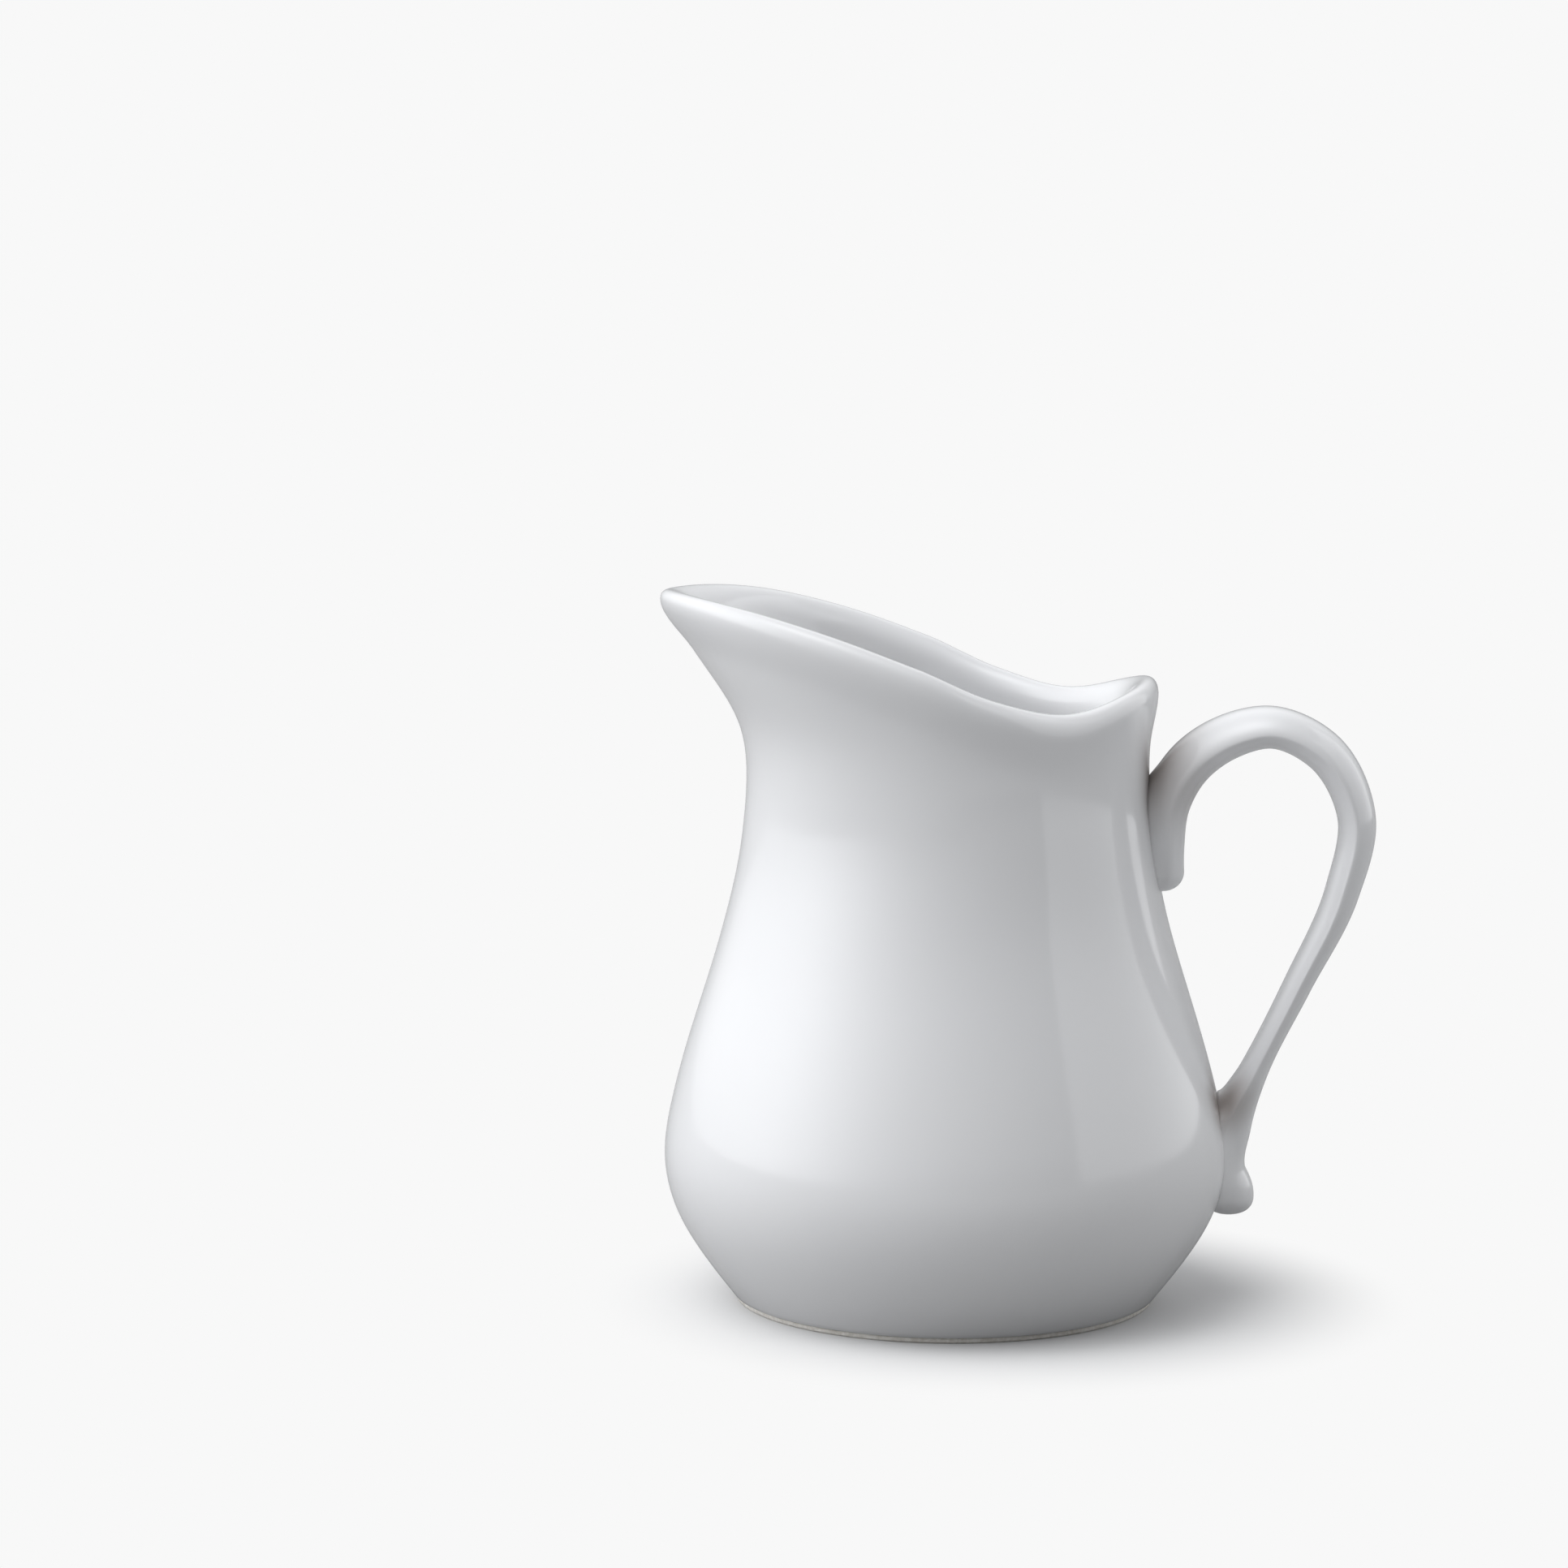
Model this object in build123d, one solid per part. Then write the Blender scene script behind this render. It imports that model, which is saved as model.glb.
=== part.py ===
from build123d import *
import math
import os

# A small white porcelain milk jug: pear-shaped body, sloping mouth with a pouring
# spout at -X and a raised peak at +X, and a loop handle at +X. Millimetres, +Z up.
# The origin is the centre of the foot, on the plane that the jug stands on.

# Foot and floor
FOOT_R = 38.0            # outer radius of the ring that touches the table
FOOT_WIDTH = 4.0         # radial width of that ring
FOOT_H = 1.2             # height of the unglazed ring
RECESS_H = 2.4           # height of the underside inside the ring
FLOOR_TOP = 7.0          # height of the floor inside the jug
FLOOR_ROUND = 5.0        # radius between the floor and the wall inside

# Round part of the body: it swells from the ring to the belly and draws in to the waist
FOOT_SPREAD = 0.6        # how far the body overhangs the ring
BELLY_R, BELLY_Z = 51.0, 26.0
WAIST_R, WAIST_Z = 36.3, 97.0
SHOULDER = 0.85          # below 1, the shoulder falls in sooner above the belly
LEVELS = [FOOT_H, 5.0, 10.0, 17.0, 26.0, 36.0, 48.0, 62.0, 75.0]

# Mouth part of the body. Its sections lie in planes that fan out about a line
# parallel to Y at (HINGE_X, NECK_Z), so that they tilt with the sloping rim.
HINGE_X = 89.0
NECK_Z = 88.0
TILTS = [0.0, 4.0, 8.0, 12.0, 15.0, 18.0, 22.0, 27.0]
# How far the mouth grows past the waist: (growth, tilt where it starts, tilt where it ends)
SPOUT = (18.2, 5.0, 19.5)
SIDES = (2.5, 8.0, 20.0)
PEAK = (1.5, 12.0, 26.0)
WIDEST_X = -4.0          # where the mouth is widest
SPOUT_PINCH = 0.45       # how far the spout narrows towards its tip
PINCH_POWER = 8          # how close to the tip that narrowing is
FULL_MOUTH_TILT = 15.0   # tilt at which a section has its full mouth shape

# Wall and rim
WALL = 4.0               # thickness of the wall below the neck
LIP_WALL = 6.0           # thickness of the wall at the rolled lip
# Height of the rim seen from the side, from the spout to the peak: (x, z)
RIM = [(-60.0, 128.5), (-49.0, 129.5), (-38.0, 128.4), (-20.0, 123.8), (-4.0, 117.8),
       (10.0, 112.0), (24.0, 109.5), (35.0, 113.8), (42.0, 116.6)]
CUTTER_TOP = 170.0       # height of the block that trims the mouth
CUTTER_FRONT = -80.0     # how far that block reaches past the spout

# Handle, from the tip of the curl under the upper root to the tip of the lower knob:
# centre in the XZ plane, thickness and width
HANDLE = [(39.2, 75.0, 7.4, 12.0), (39.0, 83.0, 7.5, 15.5), (39.5, 91.0, 8.5, 16.5),
          (43.2, 97.8, 8.4, 17.0), (50.3, 103.0, 8.0, 17.0), (58.0, 104.8, 7.5, 17.0),
          (67.5, 100.5, 7.5, 17.0), (73.5, 89.0, 6.8, 17.0), (71.2, 75.0, 6.0, 17.0),
          (63.5, 58.0, 4.8, 16.5), (55.8, 42.0, 5.0, 15.5), (51.5, 32.0, 8.0, 14.5),
          (50.8, 24.5, 7.5, 13.5), (51.4, 20.0, 9.5, 13.0), (51.0, 15.8, 9.5, 12.0)]

# Luting slip between the handle and the wall
LUTE = 0.8               # thickness of the slip
LUTE_WIDTH = 17.0        # width of each patch of slip
UPPER_ROOT = (75.0, 99.0)    # lowest and highest point of the upper patch
LOWER_ROOT = (16.0, 38.0)    # lowest and highest point of the lower patch

SECTION_POINTS = 24      # points on each section of the skin


def ease(share):
    """From 0 to 1 along half a cosine wave, level at both ends."""
    return (1 - math.cos(math.pi * min(1.0, max(0.0, share)))) / 2


def growth(rule, tilt):
    amount, start, end = rule
    return amount * ease((tilt - start) / (end - start))


def belly_radius(height):
    """Radius of the round part of the skin, which stays at the waist's above WAIST_Z."""
    side = FOOT_R + FOOT_SPREAD
    if height <= BELLY_Z:
        share = (height - FOOT_H) / (BELLY_Z - FOOT_H)
        return side + (BELLY_R - side) * math.sin(math.pi / 2 * share)
    share = min(1.0, (height - BELLY_Z) / (WAIST_Z - BELLY_Z))
    return BELLY_R - (BELLY_R - WAIST_R) * ease(share ** SHOULDER)


def egg(front, back, width, shape):
    """Points of one section, from the back round to the front. shape is 0 for a
    plain oval about the axis and 1 for the full mouth with its spout."""
    centre = WIDEST_X * shape
    points = []
    for i in range(SECTION_POINTS):
        angle = 2 * math.pi * i / SECTION_POINTS
        along = math.cos(angle)
        reach = back - centre if along > 0 else front + centre
        pinch = SPOUT_PINCH * shape * max(0.0, -along) ** PINCH_POWER
        points.append((centre + reach * along, width * math.sin(angle) * (1 - pinch)))
    return points


def wall_at(tilt):
    """Thickness of the wall, which grows towards the lip."""
    share = min(1.0, tilt / FULL_MOUTH_TILT)
    return WALL + (LIP_WALL - WALL) * share ** 2


def section_wire(plane, points):
    """A closed smooth curve through points given in plane coordinates."""
    places = [plane.from_local_coords(Vector(x, y, 0)) for x, y in points]
    return Wire([Edge.make_spline(places, periodic=True)])


def belly_wire(height, radius):
    return section_wire(Plane((0, 0, height)), egg(radius, radius, radius, 0))


def mouth_wire(tilt, grow):
    """The section at this tilt, moved outward by grow."""
    slope = math.radians(tilt)
    axis_height = NECK_Z + HINGE_X * math.tan(slope)
    plane = Plane((0, 0, axis_height), x_dir=(math.cos(slope), 0, -math.sin(slope)),
                  z_dir=(math.sin(slope), 0, math.cos(slope)))
    stretch = 1 / math.cos(slope)
    reach = belly_radius(axis_height) + grow
    front, back, width = (reach + growth(rule, tilt) for rule in (SPOUT, PEAK, SIDES))
    shape = min(1.0, tilt / FULL_MOUTH_TILT)
    return section_wire(plane, egg(front * stretch, back * stretch, width, shape))


def outer_skin(grow=0.0):
    """The outside of the body as a full solid, before the mouth is trimmed."""
    wires = [belly_wire(z, belly_radius(z) + grow) for z in LEVELS]
    wires += [mouth_wire(tilt, grow) for tilt in TILTS]
    return Solid.make_loft(wires)


def cavity():
    """The inside of the body as a full solid that rises past the rim."""
    levels = [z for z in LEVELS if z > FLOOR_TOP]
    floor_r = belly_radius(levels[0]) - WALL - FLOOR_ROUND / 2
    wires = [belly_wire(FLOOR_TOP, floor_r)]
    wires += [belly_wire(z, belly_radius(z) - WALL) for z in levels]
    wires += [mouth_wire(tilt, -wall_at(tilt)) for tilt in TILTS]
    return Solid.make_loft(wires)


def mouth_cutter():
    """Everything above the rim line, right across the jug."""
    rim = Spline([(x, 0, z) for x, z in RIM])
    left, right = RIM[0], RIM[-1]
    sides = Polyline((right[0], 0, right[1]), (right[0], 0, CUTTER_TOP),
                     (CUTTER_FRONT, 0, CUTTER_TOP), (CUTTER_FRONT, 0, left[1]),
                     (left[0], 0, left[1]))
    face = Face(Wire([rim.edge()] + list(sides.edges())))
    depth = 2 * FOOT_R
    return extrude(face, amount=depth, dir=(0, 1, 0), both=True)


def make_body():
    solid = outer_skin() - cavity() - mouth_cutter()
    recess = Cylinder(FOOT_R - FOOT_WIDTH, RECESS_H,
                      align=(Align.CENTER, Align.CENTER, Align.MIN))
    return solid - recess


def make_foot():
    ring = Cylinder(FOOT_R, FOOT_H, align=(Align.CENTER, Align.CENTER, Align.MIN))
    hole = Cylinder(FOOT_R - FOOT_WIDTH, FOOT_H,
                    align=(Align.CENTER, Align.CENTER, Align.MIN))
    return ring - hole


def handle_blank():
    """The whole strap: a loft through oval sections square to its centre line, which
    runs into the wall at both roots."""
    wires = []
    for i, (x, z, thickness, width) in enumerate(HANDLE):
        before = HANDLE[max(i - 1, 0)]
        after = HANDLE[min(i + 1, len(HANDLE) - 1)]
        heading = Vector(after[0] - before[0], 0, after[1] - before[1])
        plane = Plane((x, 0, z), x_dir=(0, 1, 0), z_dir=heading)
        wires.append(Wire([Edge.make_ellipse(width / 2, thickness / 2, plane)]))
    return Solid.make_loft(wires)


def make_lute(root, coated, plain):
    """A patch of slip on the wall, as thick as the gap between the wall and the root."""
    low, high = root
    block = Box(4 * FOOT_R, LUTE_WIDTH, high - low, align=(Align.MIN, Align.CENTER, Align.MIN))
    return (coated & Pos(0, 0, low) * block) - plain


def write(name, shape):
    shape.label = name
    export_step(shape, f"parts/{name}.step")


def main():
    os.makedirs("parts", exist_ok=True)
    plain = outer_skin()
    coated = outer_skin(LUTE)
    write("jug_body", make_body())
    write("foot_ring", make_foot())
    write("handle", handle_blank() - coated)
    write("upper_handle_lute", make_lute(UPPER_ROOT, coated, plain))
    write("lower_handle_lute", make_lute(LOWER_ROOT, coated, plain))


main()
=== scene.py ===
import math

import bmesh
import bpy
import numpy as np
from mathutils import Matrix, Vector


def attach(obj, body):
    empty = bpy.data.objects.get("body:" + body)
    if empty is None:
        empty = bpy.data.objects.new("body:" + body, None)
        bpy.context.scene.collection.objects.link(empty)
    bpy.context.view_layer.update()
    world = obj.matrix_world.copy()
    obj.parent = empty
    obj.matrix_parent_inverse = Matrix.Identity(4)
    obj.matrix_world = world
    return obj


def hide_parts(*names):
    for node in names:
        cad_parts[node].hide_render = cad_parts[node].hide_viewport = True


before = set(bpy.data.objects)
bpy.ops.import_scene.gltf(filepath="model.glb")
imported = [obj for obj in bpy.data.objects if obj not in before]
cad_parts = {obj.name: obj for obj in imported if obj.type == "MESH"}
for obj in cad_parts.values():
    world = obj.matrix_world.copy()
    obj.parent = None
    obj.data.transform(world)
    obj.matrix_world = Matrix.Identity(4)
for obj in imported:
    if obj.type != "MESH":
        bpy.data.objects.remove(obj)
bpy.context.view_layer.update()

# A white porcelain milk jug on a pale floor. Shapes are worked out in millimetres, in the
# frame of the CAD model, and scaled to metres when a mesh is made.
MM = 0.001

# ---------------------------------------------------------------- dimensions, in millimetres

FOOT_R = 38.0            # outer radius of the unglazed ring on the table
FOOT_WIDTH = 4.0         # radial width of that ring
FOOT_H = 1.2             # height of the ring
RECESS_H = 2.4           # height of the underside inside the ring
FOOT_EDGE = 0.35         # how far the ring's edges on the table are softened
FLOOR_TOP = 7.0          # height of the floor inside the jug
FLOOR_BLEND = 12.0       # width of the curve between the wall and the floor inside
FLOOR_SWELL = 1.0        # how far that curve swells outward

# Round part of the outer skin: it swells from the ring to the belly and draws in to the waist
FOOT_SPREAD = 0.6        # how far the body overhangs the ring
BELLY_R, BELLY_Z = 51.0, 26.0
WAIST_R, WAIST_Z = 36.3, 97.0
SHOULDER = 0.85          # below 1, the shoulder falls in sooner above the belly
LEVELS = [FOOT_H, 5.0, 10.0, 17.0, 26.0, 36.0, 48.0, 62.0, 75.0]

# Mouth part: sections in planes that fan out about a line parallel to Y
HINGE_X = 89.0
NECK_Z = 88.0
TILTS = [0.0, 4.0, 8.0, 12.0, 15.0, 18.0, 22.0, 27.0]
# How far the mouth grows past the waist: (growth, tilt where it starts, tilt where it ends)
SPOUT = (18.2, 5.0, 19.5)
SIDES = (2.5, 8.0, 20.0)
PEAK = (1.5, 12.0, 26.0)
WIDEST_X = -4.0          # where the mouth is widest
SPOUT_PINCH = 0.45       # how far the spout narrows towards its tip
PINCH_POWER = 8          # how close to the tip that narrowing is
FULL_MOUTH_TILT = 15.0   # tilt at which a section has its full mouth shape

WALL = 4.0               # thickness of the wall below the neck
LIP_WALL = 6.0           # thickness of the wall at the rolled lip
LIP_RISE = 4.6           # how far the roll rises above the two skins
LIP_BEAD = 0.6           # how far the roll swells out past the outer skin at the sides
BEAD_LEAN = 0.5          # how much more it swells at the spout, and less at the peak
BEAD_HEIGHT = 8.0        # how far below the roll that swelling starts
# Height of the rim's crest seen from the side, from the spout to the peak: (x, z)
RIM = [(-60.0, 128.5), (-49.0, 129.5), (-38.0, 128.4), (-20.0, 123.8), (-4.0, 117.8),
       (10.0, 112.0), (24.0, 109.5), (35.0, 113.8), (42.0, 116.6)]

# Handle, from the tip of the curl under the upper root to the tip of the lower knob:
# centre in the XZ plane, thickness and width
HANDLE = [(39.2, 75.0, 7.4, 12.0), (39.0, 83.0, 7.5, 15.5), (39.5, 91.0, 8.5, 16.5),
          (43.2, 97.8, 8.4, 17.0), (50.3, 103.0, 8.0, 17.0), (58.0, 104.8, 7.5, 17.0),
          (67.5, 100.5, 7.5, 17.0), (73.5, 89.0, 6.8, 17.0), (71.2, 75.0, 6.0, 17.0),
          (63.5, 58.0, 4.8, 16.5), (55.8, 42.0, 5.0, 15.5), (51.5, 32.0, 8.0, 14.5),
          (50.8, 24.5, 7.5, 13.5), (51.4, 20.0, 9.5, 13.0), (51.0, 15.8, 9.5, 12.0)]
HANDLE_CAP = 3.5         # length over which each tip rounds off
HANDLE_CREASE = 1.55     # 1 is a sharp side edge, 2 a fully rounded one
HANDLE_FLATNESS = 2.4    # 2 is an ellipse, more flattens the broad faces
HANDLE_CROWN = 0.6       # share of the thickness that lies outside the widest line
FILLET = 2.4             # distance from the wall at which the handle's roots start to flare

# How finely the meshes are divided
RING_COLUMNS = 192       # points round the body and the foot
SKIN_STEPS = 130         # rings up each side of the wall
ROLL_STEPS = 20          # rings over the lip
BLEND_STEPS = 16         # rings between the wall and the floor inside
DISC_STEPS = 8           # rings across the floor inside
HANDLE_COLUMNS = 88      # points round the handle
HANDLE_STEPS = 36        # rings between two stations of the handle
INNER_START = 3          # the station of the belly at which the inner wall ends
TANGENT_STEP = 0.05      # length over which the direction of a skin is taken
BISECTIONS = 40          # halvings of the search for the rim
TINY = 1e-6


# ---------------------------------------------------------------- curves

def hermite(xs, ys, x):
    """Smooth curve through the stations, with the slope of their neighbours."""
    xs, ys = np.asarray(xs, float), np.asarray(ys, float)
    steps = np.diff(xs)
    slopes = np.diff(ys, axis=0) / (steps[:, None] if ys.ndim > 1 else steps)
    before, after = steps[:-1], steps[1:]
    if ys.ndim > 1:
        before, after = before[:, None], after[:, None]
    middle = (slopes[:-1] * after + slopes[1:] * before) / (before + after)
    tangents = np.concatenate([slopes[:1], middle, slopes[-1:]])
    x = np.clip(x, xs[0], xs[-1])
    i = np.clip(np.searchsorted(xs, x, side="right") - 1, 0, len(steps) - 1)
    h = steps[i]
    t = (x - xs[i]) / h
    if ys.ndim > 1:
        h, t = np.asarray(h)[..., None], np.asarray(t)[..., None]
    low, high = ys[i], ys[i + 1]
    return ((2 * t**3 - 3 * t**2 + 1) * low + (t**3 - 2 * t**2 + t) * h * tangents[i]
            + (3 * t**2 - 2 * t**3) * high + (t**3 - t**2) * h * tangents[i + 1])


def rim_height(x):
    return hermite([p[0] for p in RIM], [p[1] for p in RIM], x)


def ease(share):
    """From 0 to 1 along half a cosine wave, level at both ends."""
    return (1 - np.cos(np.pi * np.clip(share, 0.0, 1.0))) / 2


def growth(rule, tilt):
    amount, start, end = rule
    return amount * ease((tilt - start) / (end - start))


# ---------------------------------------------------------------- the skin of the body

def belly_radius(height):
    side = FOOT_R + FOOT_SPREAD
    below = np.clip((height - FOOT_H) / (BELLY_Z - FOOT_H), 0.0, 1.0)
    above = np.clip((height - BELLY_Z) / (WAIST_Z - BELLY_Z), 0.0, 1.0)
    return (side + (BELLY_R - side) * np.sin(np.pi / 2 * below)
            - (BELLY_R - WAIST_R) * ease(above**SHOULDER))


def egg(front, back, width, shape, angle):
    centre = WIDEST_X * shape
    along = np.cos(angle)
    reach = np.where(along > 0, back - centre, front + centre)
    pinch = SPOUT_PINCH * shape * np.maximum(0.0, -along) ** PINCH_POWER
    return centre + reach * along, width * np.sin(angle) * (1 - pinch)


def wall_at(tilt):
    share = np.clip(tilt / FULL_MOUTH_TILT, 0.0, 1.0)
    return WALL + (LIP_WALL - WALL) * share**2


def stations(angle, inward=False):
    """Points of every station of the skin, outside or inside, for each angle."""
    rows = []
    for height in LEVELS:
        rows.append(ring_at(belly_radius(height) - (WALL if inward else 0.0), height, angle))
    for tilt in TILTS:
        slope = math.radians(tilt)
        stretch = 1 / math.cos(slope)
        shape = min(1.0, tilt / FULL_MOUTH_TILT)
        reach = belly_radius(NECK_Z + HINGE_X * math.tan(slope))
        reach -= wall_at(tilt) if inward else 0.0
        front, back, width = (reach + growth(rule, tilt) for rule in (SPOUT, PEAK, SIDES))
        u, v = egg(front * stretch, back * stretch, width, shape, angle)
        x = u * math.cos(slope)
        rows.append(np.stack([x, v, NECK_Z + (HINGE_X - x) * math.tan(slope)], -1))
    return np.stack(rows)


class Skin:
    """A smooth skin through the stations: one natural cubic spline for each angle."""

    def __init__(self, angle, inward=False):
        self.points = stations(angle, inward)
        chords = np.linalg.norm(np.diff(self.points, axis=0), axis=2).mean(axis=1)
        self.knots = np.concatenate([[0.0], np.cumsum(chords)])
        self.bends = self.second_derivatives(chords)
        self.column = np.arange(len(angle))

    def second_derivatives(self, steps):
        count = len(self.knots)
        system = np.eye(count)
        target = np.zeros_like(self.points)
        slopes = np.diff(self.points, axis=0) / steps[:, None, None]
        for i in range(1, count - 1):
            system[i, i - 1:i + 2] = (steps[i - 1], 2 * (steps[i - 1] + steps[i]), steps[i])
            target[i] = 6 * (slopes[i] - slopes[i - 1])
        flat = np.linalg.solve(system, target.reshape(count, -1))
        return flat.reshape(self.points.shape)

    def at(self, t):
        """One point for each angle, at the distance t along each spline."""
        i = np.clip(np.searchsorted(self.knots, t, side="right") - 1, 0, len(self.knots) - 2)
        h = (self.knots[i + 1] - self.knots[i])[:, None]
        up = (t - self.knots[i])[:, None] / h
        down = 1 - up
        low, high = self.points[i, self.column], self.points[i + 1, self.column]
        bend_low, bend_high = self.bends[i, self.column], self.bends[i + 1, self.column]
        return (down * low + up * high
                + ((down**3 - down) * bend_low + (up**3 - up) * bend_high) * h**2 / 6)

    def under_rim(self, drop):
        """How far along each spline the skin is drop below the rim's crest line."""
        low = np.full(len(self.column), self.knots[len(LEVELS)])
        high = np.full(len(self.column), self.knots[-1])
        for _ in range(BISECTIONS):
            middle = (low + high) / 2
            point = self.at(middle)
            below = point[:, 2] < rim_height(point[:, 0]) - drop
            low = np.where(below, middle, low)
            high = np.where(below, high, middle)
        return (low + high) / 2


def unit(vectors):
    return vectors / np.linalg.norm(vectors, axis=-1, keepdims=True)


def body_rings():
    """Rings of points from the foot edge, up the outside, over the lip, down inside."""
    angle = np.linspace(0, 2 * np.pi, RING_COLUMNS, endpoint=False)
    outer, inner = Skin(angle), Skin(angle, inward=True)
    outer_end, inner_end = outer.under_rim(LIP_RISE), inner.under_rim(LIP_RISE)
    edge_out, edge_in = outer.at(outer_end), inner.at(inner_end)
    rise_out = unit(edge_out - outer.at(outer_end - TANGENT_STEP))
    rise_in = unit(edge_in - inner.at(inner_end - TANGENT_STEP))
    swell = unit(edge_out - edge_in) * (LIP_BEAD - BEAD_LEAN * np.cos(angle))[:, None]
    rings = []
    for s in np.linspace(0, 1, SKIN_STEPS):
        ring = outer.at(outer_end * s)
        below = np.linalg.norm(edge_out - ring, axis=1, keepdims=True)
        rings.append(ring + swell * (1 - ease(below / BEAD_HEIGHT)))
    edge_out = rings[-1]
    centre, across = (edge_out + edge_in) / 2, (edge_out - edge_in) / 2
    for t in np.linspace(0, np.pi, ROLL_STEPS + 1)[1:]:
        lean = (1 + math.cos(t)) / 2
        up = rise_out * lean + rise_in * (1 - lean)
        rings.append(centre + across * math.cos(t) + up * LIP_RISE * math.sin(t))
    start = inner.knots[INNER_START]
    for s in np.linspace(0, 1, SKIN_STEPS)[1:]:
        rings.append(inner.at(inner_end + (start - inner_end) * s))
    return rings, angle


def floor_rings(last, angle):
    """Rounds the inner wall into the floor: rings from the wall down to the centre."""
    r0 = np.hypot(last[0, 0], last[0, 1])
    z0 = last[0, 2]
    rings = []
    drop = z0 - FLOOR_TOP
    for t in np.linspace(0, np.pi / 2, BLEND_STEPS + 1)[1:]:
        r = r0 - FLOOR_BLEND * (1 - math.cos(t)) + FLOOR_SWELL * math.sin(2 * t)
        rings.append(ring_at(r, z0 - drop * math.sin(t), angle))
    r_floor = r0 - FLOOR_BLEND
    for s in np.linspace(1, 0, DISC_STEPS + 1)[1:-1]:
        rings.append(ring_at(r_floor * s, FLOOR_TOP, angle))
    return rings


def ring_at(radius, height, angle):
    return np.stack([radius * np.cos(angle), radius * np.sin(angle),
                     np.full_like(angle, height)], -1)


def underside_rings(angle):
    """From the centre of the underside out over the seat of the foot ring."""
    inner = FOOT_R - FOOT_WIDTH
    outline = [(inner * s, RECESS_H) for s in (0.15, 0.4, 0.7, 0.9)]
    # round the recess's corner, along the seat inside the ring, and out to the body's edge
    outline += [(inner - 0.9, RECESS_H), (inner - 0.25, RECESS_H - 0.3), (inner, RECESS_H - 0.9),
                (inner + 0.1, FOOT_H * 0.8), (FOOT_R - 0.3, FOOT_H * 0.8),
                (FOOT_R + 0.2, FOOT_H * 0.82), (FOOT_R + 0.45, FOOT_H * 0.92)]
    return [ring_at(r, z, angle) for r, z in outline]


# ---------------------------------------------------------------- meshes

def mesh_object(name, points, faces):
    mesh = bpy.data.meshes.new(name)
    mesh.from_pydata([tuple(p * MM) for p in points], [], faces)
    mesh.update()
    work = bmesh.new()
    work.from_mesh(mesh)
    bmesh.ops.recalc_face_normals(work, faces=work.faces)
    work.to_mesh(mesh)
    work.free()
    mesh.polygons.foreach_set("use_smooth", [True] * len(mesh.polygons))
    obj = bpy.data.objects.new(name, mesh)
    bpy.context.scene.collection.objects.link(obj)
    return obj


def tube_faces(rings, columns):
    """Quads between neighbouring rings, as indices into the joined points."""
    faces = []
    for i in range(rings - 1):
        for j in range(columns):
            k = (j + 1) % columns
            faces.append((i * columns + j, i * columns + k,
                          (i + 1) * columns + k, (i + 1) * columns + j))
    return faces


def closed_tube(name, rings, start, end):
    """A closed skin through rings, with a fan to a point at each end."""
    columns = len(rings[0])
    points = np.concatenate(rings + [start[None], end[None]])
    faces = tube_faces(len(rings), columns)
    first, last = len(points) - 2, len(points) - 1
    base = (len(rings) - 1) * columns
    for j in range(columns):
        k = (j + 1) % columns
        faces.append((first, k, j))
        faces.append((last, base + j, base + k))
    return mesh_object(name, points, faces)


def make_body():
    skin, angle = body_rings()
    rings = underside_rings(angle) + skin + floor_rings(skin[-1], angle)
    return closed_tube("jug_body_glazed", rings, np.array([0, 0, RECESS_H]),
                       np.array([0, 0, FLOOR_TOP]))


def make_foot():
    """The unglazed ring, with softened edges where it meets the table."""
    angle = np.linspace(0, 2 * np.pi, RING_COLUMNS, endpoint=False)
    outer, inner, soft = FOOT_R, FOOT_R - FOOT_WIDTH, FOOT_EDGE
    outline = [(outer - soft, 0.0), (outer - 0.1, 0.1), (outer, soft), (outer, FOOT_H),
               (inner, FOOT_H), (inner, soft), (inner + 0.1, 0.1), (inner + soft, 0.0)]
    rings = [ring_at(r, z, angle) for r, z in outline]
    points = np.concatenate(rings)
    faces = tube_faces(len(rings), RING_COLUMNS)
    base = (len(rings) - 1) * RING_COLUMNS
    for j in range(RING_COLUMNS):
        k = (j + 1) % RING_COLUMNS
        faces.append((base + j, base + k, k, j))
    return mesh_object("foot_ring_biscuit", points, faces)


def flare(points, centre):
    """Spreads the handle's skin sideways where it comes near the wall, into a fillet."""
    gap = np.hypot(points[:, 0], points[:, 1]) - belly_radius(points[:, 2])
    near = np.clip(1 - gap / FILLET, 0.0, 1.0)
    spread = FILLET / 2 * near**2
    away = points - centre
    outward = unit(np.stack([points[:, 0], points[:, 1], 0 * gap], -1))
    away -= outward * np.sum(away * outward, axis=1, keepdims=True)
    length = np.maximum(np.linalg.norm(away, axis=1, keepdims=True), TINY)
    return points + away / length * np.minimum(spread[:, None], length)


def strap_section():
    """One section of the strap, as shares of its thickness and of half its width."""
    turn = np.linspace(0, 2 * np.pi, HANDLE_COLUMNS, endpoint=False)
    along = np.cos(turn)
    bulge = (1 - np.abs(along) ** HANDLE_FLATNESS).clip(0) ** (1 / HANDLE_CREASE)
    across = np.sign(np.sin(turn)) * bulge
    crown = np.where(across > 0, HANDLE_CROWN, 1 - HANDLE_CROWN)
    return across * crown + 0.5 - HANDLE_CROWN, along


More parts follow.
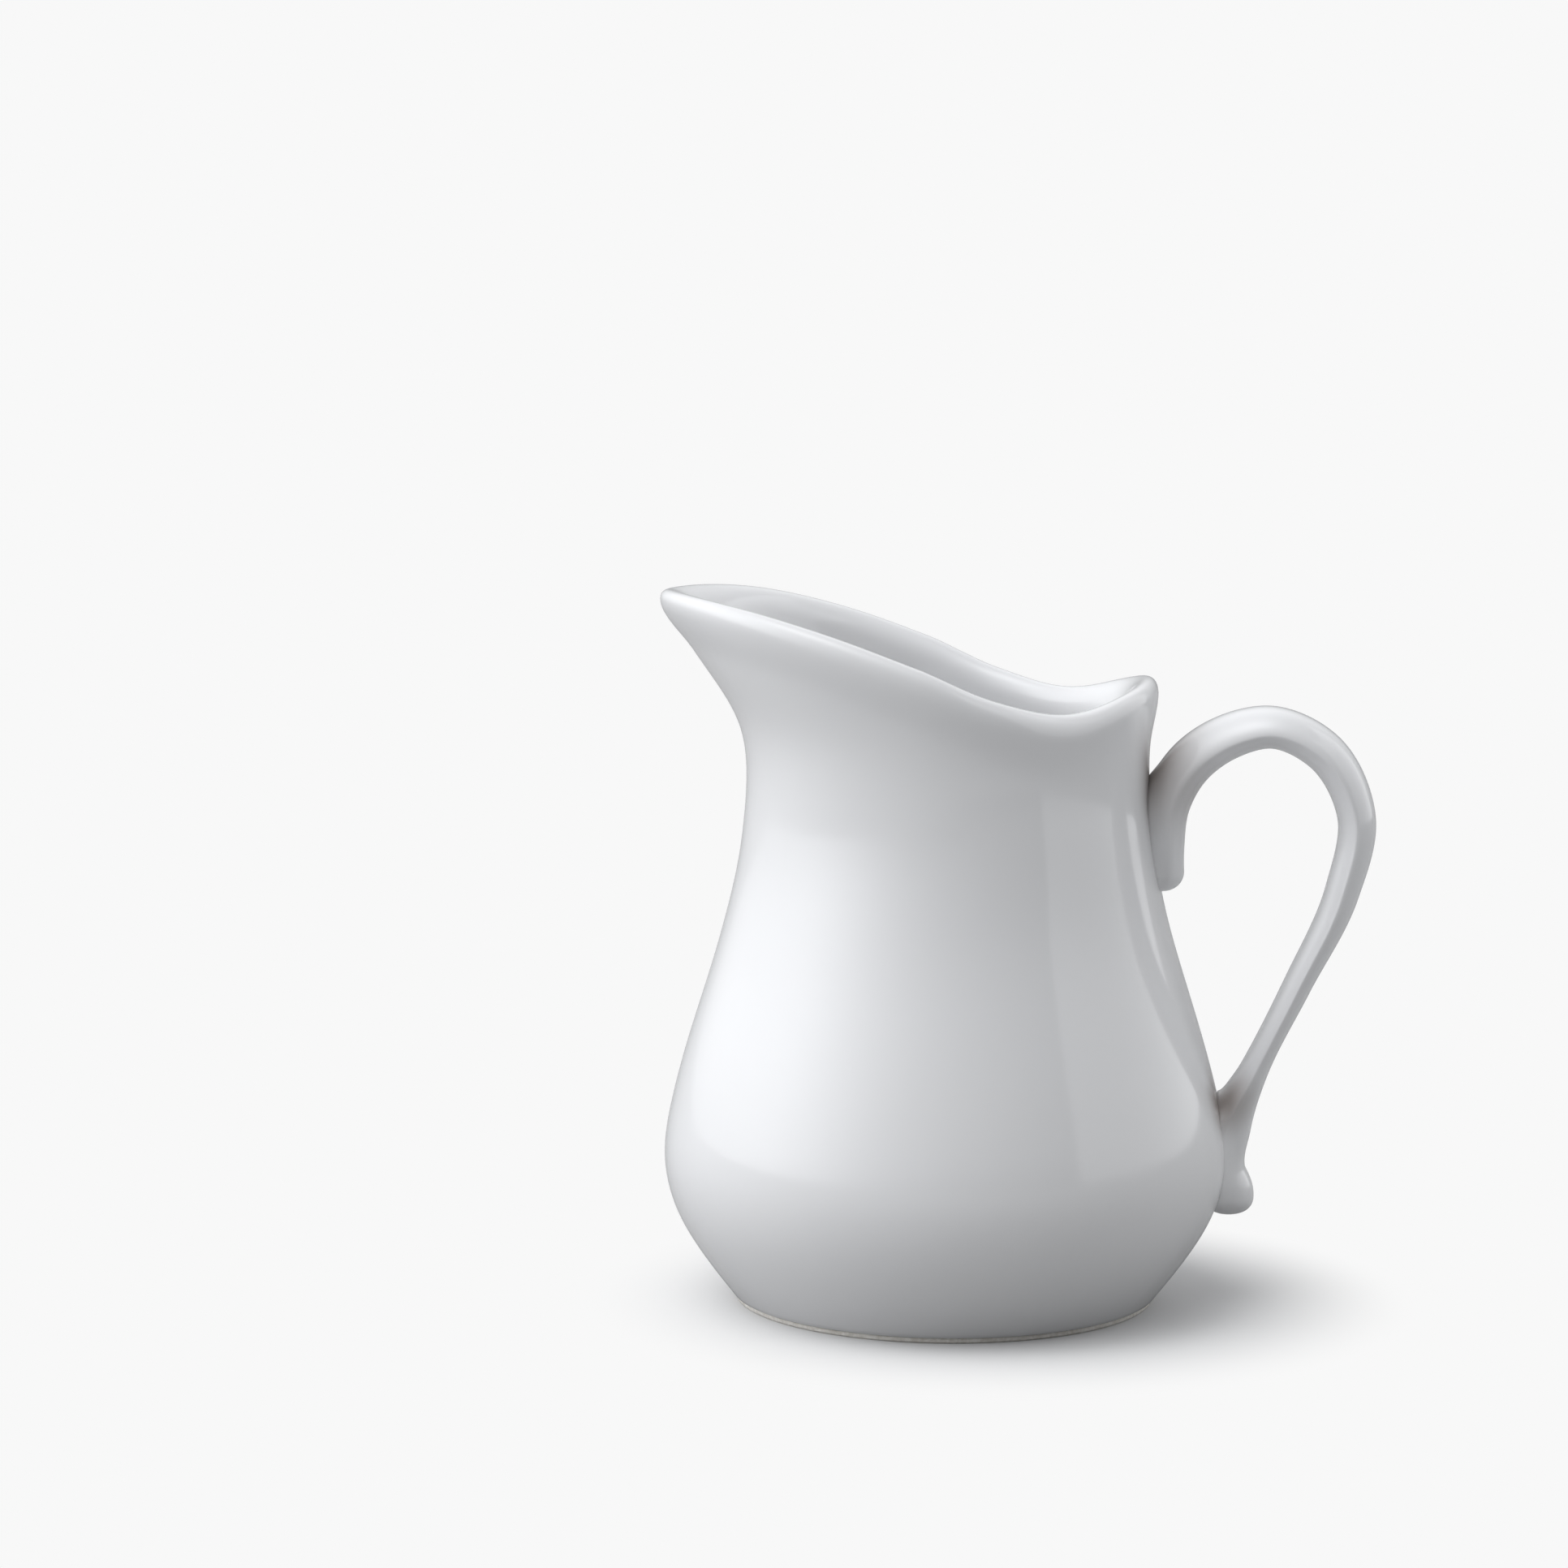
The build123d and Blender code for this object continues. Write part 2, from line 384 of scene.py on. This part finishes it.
def make_handle():
    stops = np.array(HANDLE)
    chords = np.linalg.norm(np.diff(stops[:, :2], axis=0), axis=1)
    places = np.concatenate([[0.0], np.cumsum(chords)])
    fine = np.linspace(0, places[-1], (len(HANDLE) - 1) * HANDLE_STEPS + 1)
    x, z, thickness, width = hermite(places, stops, fine).T
    heading = unit(np.stack([np.gradient(x), np.gradient(z)], -1))
    from_tip = np.clip(np.minimum(fine, places[-1] - fine) / HANDLE_CAP, 0.0, 1.0)
    cap = np.sqrt(1 - (1 - from_tip) ** 2)
    across, along = strap_section()
    rings = []
    for i in range(1, len(fine) - 1):
        centre = np.array([x[i], 0, z[i]])
        outward = np.array([-heading[i, 1], 0, heading[i, 0]])
        ring = (centre + np.outer(across, outward) * thickness[i] * cap[i]
                + np.outer(along, [0, width[i] / 2 * cap[i], 0]))
        rings.append(flare(ring, centre))
    return closed_tube("handle_glazed", rings, np.array([x[0], 0, z[0]]),
                       np.array([x[-1], 0, z[-1]]))


# ---------------------------------------------------------------- materials

# Spots of painted shade beside the handle's roots, where handle and wall shade each other:
# (place, reach), in millimetres
PAINTED_SHADE_SPOTS = [((38.5, 0.0, 96.0), 15.0), ((49.5, -6.0, 38.0), 9.0), ((49.5, 6.0, 38.0), 9.0)]
PAINTED_SHADE_DEPTH = 1.0             # share of the painted shade's colour at its middle
# the dark colour painted in as shade beside the handle's roots
PAINTED_SHADE_COLOUR = (0.40, 0.36, 0.34, 1)


def shader(name):
    material = bpy.data.materials.new(name)
    material.use_nodes = True
    nodes, links = material.node_tree.nodes, material.node_tree.links
    return material, nodes, links, nodes["Principled BSDF"]


def noise(nodes, links, coords, scale, detail):
    node = nodes.new("ShaderNodeTexNoise")
    node.inputs["Scale"].default_value = scale
    node.inputs["Detail"].default_value = detail
    links.new(coords.outputs["Object"], node.inputs["Vector"])
    return node


def ramp(nodes, links, source, stops):
    node = nodes.new("ShaderNodeValToRGB")
    elements = node.color_ramp.elements
    while len(elements) < len(stops):
        elements.new(0.5)
    for element, (place, colour) in zip(elements, stops):
        element.position = place
        element.color = (*colour, 1.0)
    links.new(source, node.inputs["Fac"])
    return node


def painted_shade_spot(nodes, links, coords, place, reach):
    """Mask of one spot of painted shade: 1 at a place given in millimetres, falling smoothly to
    0 at the reach.
    """
    distance = nodes.new("ShaderNodeVectorMath")
    distance.operation = "DISTANCE"
    links.new(coords.outputs["Object"], distance.inputs[0])
    distance.inputs[1].default_value = [value * MM for value in place]
    fade = nodes.new("ShaderNodeMapRange")
    fade.interpolation_type = "SMOOTHSTEP"
    fade.inputs["From Min"].default_value = 0.0
    fade.inputs["From Max"].default_value = reach * MM
    fade.inputs["To Min"].default_value = 1.0
    fade.inputs["To Max"].default_value = 0.0
    links.new(distance.outputs["Value"], fade.inputs["Value"])
    return fade.outputs["Result"]


def glaze_material():
    """White porcelain under a clear glossy glaze, with shade painted darker beside the handle's
    roots.
    """
    material, nodes, links, surface = shader("glazed_porcelain")
    coords = nodes.new("ShaderNodeTexCoord")
    cloud = noise(nodes, links, coords, 18.0, 3.0)
    tint = ramp(nodes, links, cloud.outputs["Fac"],
                [(0.3, (0.835, 0.838, 0.850)), (0.7, (0.860, 0.862, 0.870))])
    # painted shade: the glaze colour darkens towards the handle's roots, where shade falls
    painted_shade = 0.0
    for place, reach in PAINTED_SHADE_SPOTS:
        painted_shade = maths(nodes, links, "MAXIMUM", painted_shade_spot(nodes, links, coords, place, reach), painted_shade)
    mix = nodes.new("ShaderNodeMix")
    mix.data_type = "RGBA"
    links.new(maths(nodes, links, "MULTIPLY", painted_shade, PAINTED_SHADE_DEPTH), mix.inputs["Factor"])
    links.new(tint.outputs["Color"], mix.inputs["A"])
    mix.inputs["B"].default_value = PAINTED_SHADE_COLOUR
    links.new(mix.outputs["Result"], surface.inputs["Base Color"])
    gloss = nodes.new("ShaderNodeMapRange")
    gloss.inputs["To Min"].default_value = 0.10
    gloss.inputs["To Max"].default_value = 0.16
    links.new(cloud.outputs["Fac"], gloss.inputs["Value"])
    links.new(gloss.outputs["Result"], surface.inputs["Roughness"])
    ripple = noise(nodes, links, coords, 120.0, 2.0)
    bump = nodes.new("ShaderNodeBump")
    bump.inputs["Strength"].default_value = 0.04
    bump.inputs["Distance"].default_value = 0.0005
    links.new(ripple.outputs["Fac"], bump.inputs["Height"])
    links.new(bump.outputs["Normal"], surface.inputs["Normal"])
    surface.inputs["IOR"].default_value = 1.5
    surface.inputs["Coat Weight"].default_value = 0.2
    surface.inputs["Coat Roughness"].default_value = 0.03
    return material


def biscuit_material():
    """The bare fired clay of the foot ring."""
    material, nodes, links, surface = shader("unglazed_foot")
    coords = nodes.new("ShaderNodeTexCoord")
    grit = noise(nodes, links, coords, 900.0, 6.0)
    tint = ramp(nodes, links, grit.outputs["Fac"],
                [(0.35, (0.62, 0.59, 0.54)), (0.65, (0.78, 0.76, 0.72))])
    links.new(tint.outputs["Color"], surface.inputs["Base Color"])
    surface.inputs["Roughness"].default_value = 0.85
    bump = nodes.new("ShaderNodeBump")
    bump.inputs["Strength"].default_value = 0.5
    bump.inputs["Distance"].default_value = 0.0002
    links.new(grit.outputs["Fac"], bump.inputs["Height"])
    links.new(bump.outputs["Normal"], surface.inputs["Normal"])
    return material


# ---------------------------------------------------------------- studio

BACKDROP = 0.939             # brightness of the empty background
FLOOR_RADIUS = 4.0           # in metres
FLOOR_EDGES = 96
FLOOR_COLOUR = 0.74          # the floor that the camera sees
FLOOR_BOUNCE = 0.36          # how much light the floor gives back to the jug
# The floor fades into the background between two distances, in metres, from this place
FLOOR_FADE = (0.040, 0.076)
FADE_CENTRE = (0.010, 0.0, 0.0)
STUDIO_COLOUR = (0.975, 0.985, 1.0, 1)
ROOM = 0.015                 # even light from every side
# Soft lights: azimuth to the right of the view, elevation, how narrow, how bright
LIGHTS = {"key": (-72, 22, 5.2, 2.7), "edge": (-130, 20, 6, 0.9), "top": (-35, 73, 14, 3.1),
          "side": (125, 12, 8, 0.7), "rear": (170, 40, 9, 0.8)}
CARD_AZIMUTH = (57, 135)     # a plain white card on the right
CARD_ELEVATION = (-2, 50)
CARD_STRENGTH = 0.9


def make_floor():
    """A pale sheet that fades into the backdrop. To every ray but the camera's it is a
    darker board, so it throws less light up at the jug."""
    bpy.ops.mesh.primitive_circle_add(vertices=FLOOR_EDGES, radius=FLOOR_RADIUS,
                                      fill_type="NGON")
    floor = bpy.context.object
    floor.name = "floor"
    material, nodes, links, surface = shader("floor")
    surface.inputs["Base Color"].default_value = (FLOOR_COLOUR, FLOOR_COLOUR, FLOOR_COLOUR, 1)
    surface.inputs["Roughness"].default_value = 1.0
    surface.inputs["Specular IOR Level"].default_value = 0.0
    coords = nodes.new("ShaderNodeTexCoord")
    distance = nodes.new("ShaderNodeVectorMath")
    distance.operation = "DISTANCE"
    links.new(coords.outputs["Object"], distance.inputs[0])
    distance.inputs[1].default_value = FADE_CENTRE
    fade = nodes.new("ShaderNodeMapRange")
    fade.interpolation_type = "SMOOTHSTEP"
    fade.inputs["From Min"].default_value = FLOOR_FADE[0]
    fade.inputs["From Max"].default_value = FLOOR_FADE[1]
    links.new(distance.outputs["Value"], fade.inputs["Value"])
    glow = nodes.new("ShaderNodeEmission")
    glow.inputs["Color"].default_value = (BACKDROP, BACKDROP, BACKDROP, 1)
    sheet = mix_shaders(nodes, links, fade.outputs["Result"], surface.outputs["BSDF"],
                        glow.outputs["Emission"])
    board = nodes.new("ShaderNodeBsdfDiffuse")
    board.inputs["Color"].default_value = (FLOOR_BOUNCE, FLOOR_BOUNCE, FLOOR_BOUNCE, 1)
    ray = nodes.new("ShaderNodeLightPath")
    seen = mix_shaders(nodes, links, ray.outputs["Is Camera Ray"], board.outputs["BSDF"], sheet)
    links.new(seen, nodes["Material Output"].inputs["Surface"])
    floor.data.materials.append(material)


def mix_shaders(nodes, links, share, first, second):
    mix = nodes.new("ShaderNodeMixShader")
    links.new(share, mix.inputs["Fac"])
    links.new(first, mix.inputs[1])
    links.new(second, mix.inputs[2])
    return mix.outputs["Shader"]


def maths(nodes, links, operation, *values):
    """One Math node; each value is a number or a socket."""
    node = nodes.new("ShaderNodeMath")
    node.operation = operation
    for socket, value in zip(node.inputs, values):
        if isinstance(value, bpy.types.NodeSocket):
            links.new(value, socket)
        else:
            socket.default_value = value
    return node.outputs[0]


def soft_light(nodes, links, coords, azimuth, elevation, narrow, bright):
    """A round light with no edge, in one direction of the sky."""
    turn, rise = math.radians(azimuth), math.radians(elevation)
    facing = nodes.new("ShaderNodeVectorMath")
    facing.operation = "DOT_PRODUCT"
    facing.inputs[1].default_value = (math.sin(turn) * math.cos(rise),
                                      -math.cos(turn) * math.cos(rise), math.sin(rise))
    links.new(coords.outputs["Generated"], facing.inputs[0])
    fall = maths(nodes, links, "MULTIPLY_ADD", facing.outputs["Value"], narrow, -narrow)
    return maths(nodes, links, "MULTIPLY", maths(nodes, links, "EXPONENT", fall), bright)


def between(nodes, links, value, low, high):
    above = maths(nodes, links, "GREATER_THAN", value, low)
    return maths(nodes, links, "MULTIPLY", above, maths(nodes, links, "LESS_THAN", value, high))


def card(nodes, links, coords):
    """An upright white card with straight edges."""
    axes = nodes.new("ShaderNodeSeparateXYZ")
    links.new(coords.outputs["Generated"], axes.inputs[0])
    front = maths(nodes, links, "MULTIPLY", axes.outputs["Y"], -1.0)
    azimuth = maths(nodes, links, "ARCTAN2", axes.outputs["X"], front)
    sides = between(nodes, links, azimuth, *(math.radians(a) for a in CARD_AZIMUTH))
    height = between(nodes, links, axes.outputs["Z"],
                     *(math.sin(math.radians(a)) for a in CARD_ELEVATION))
    lit = maths(nodes, links, "MULTIPLY", sides, height)
    return maths(nodes, links, "MULTIPLY", lit, CARD_STRENGTH)


def make_world():
    """A pale backdrop for the camera, and a soft studio for the light on the jug."""
    world = bpy.data.worlds.new("studio")
    bpy.context.scene.world = world
    world.use_nodes = True
    nodes, links = world.node_tree.nodes, world.node_tree.links
    coords = nodes.new("ShaderNodeTexCoord")
    total = maths(nodes, links, "ADD", card(nodes, links, coords), ROOM)
    for light in LIGHTS.values():
        total = maths(nodes, links, "ADD", total, soft_light(nodes, links, coords, *light))
    studio = nodes["Background"]
    studio.inputs["Color"].default_value = STUDIO_COLOUR
    links.new(total, studio.inputs["Strength"])
    seen = nodes.new("ShaderNodeBackground")
    seen.inputs["Color"].default_value = (BACKDROP, BACKDROP, BACKDROP, 1)
    ray = nodes.new("ShaderNodeLightPath")
    both = mix_shaders(nodes, links, ray.outputs["Is Camera Ray"], studio.outputs["Background"],
                       seen.outputs["Background"])
    links.new(both, nodes["World Output"].inputs["Surface"])


CAMERA_PITCH = 6.7           # degrees below the horizon at the middle of the picture
CAMERA_ROLL = 0.2
CAMERA_YAW = 3.0             # the handle is turned this far towards the camera
FOCAL = 102.5                # millimetres, on a sensor 36 mm wide
DISTANCE = 817.0             # from the lens to the foot's centre, along the view axis
FOOT_RIGHT, FOOT_DOWN = 29.2, 93.3   # where the foot's centre lies off the view axis


def make_camera():
    data = bpy.data.cameras.new("camera")
    data.lens = FOCAL
    data.sensor_width = 36.0
    data.clip_start, data.clip_end = 0.01, 20.0
    camera = bpy.data.objects.new("camera", data)
    bpy.context.scene.collection.objects.link(camera)
    pitch, roll, yaw = (math.radians(a) for a in (CAMERA_PITCH, CAMERA_ROLL, CAMERA_YAW))
    forward = Vector((0, math.cos(pitch), -math.sin(pitch)))
    right = Vector((1, 0, 0))
    up = right.cross(forward)
    right, up = (right * math.cos(roll) + up * math.sin(roll),
                 up * math.cos(roll) - right * math.sin(roll))
    place = -(right * FOOT_RIGHT - up * FOOT_DOWN + forward * DISTANCE) * MM
    # the jug stays still, so the camera is carried round it by the yaw instead
    turn = Matrix.Rotation(yaw, 4, "Z")
    basis = Matrix((right, up, -forward)).transposed().to_4x4()
    basis.translation = place
    camera.matrix_world = turn @ basis
    bpy.context.scene.camera = camera


# ---------------------------------------------------------------- build

def main():
    glaze, biscuit = glaze_material(), biscuit_material()
    body, foot, handle = make_body(), make_foot(), make_handle()
    for piece, material, slot in ((body, glaze, "glazed_porcelain"),
                                  (handle, glaze, "glazed_porcelain"),
                                  (foot, biscuit, "unglazed_foot")):
        piece.data.materials.append(material)
        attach(piece, "root")
    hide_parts("jug_body")
    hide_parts("foot_ring")
    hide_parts("handle", "upper_handle_lute", "lower_handle_lute")
    make_floor()
    make_world()
    make_camera()
    bpy.context.scene.view_settings.view_transform = "Standard"


main()
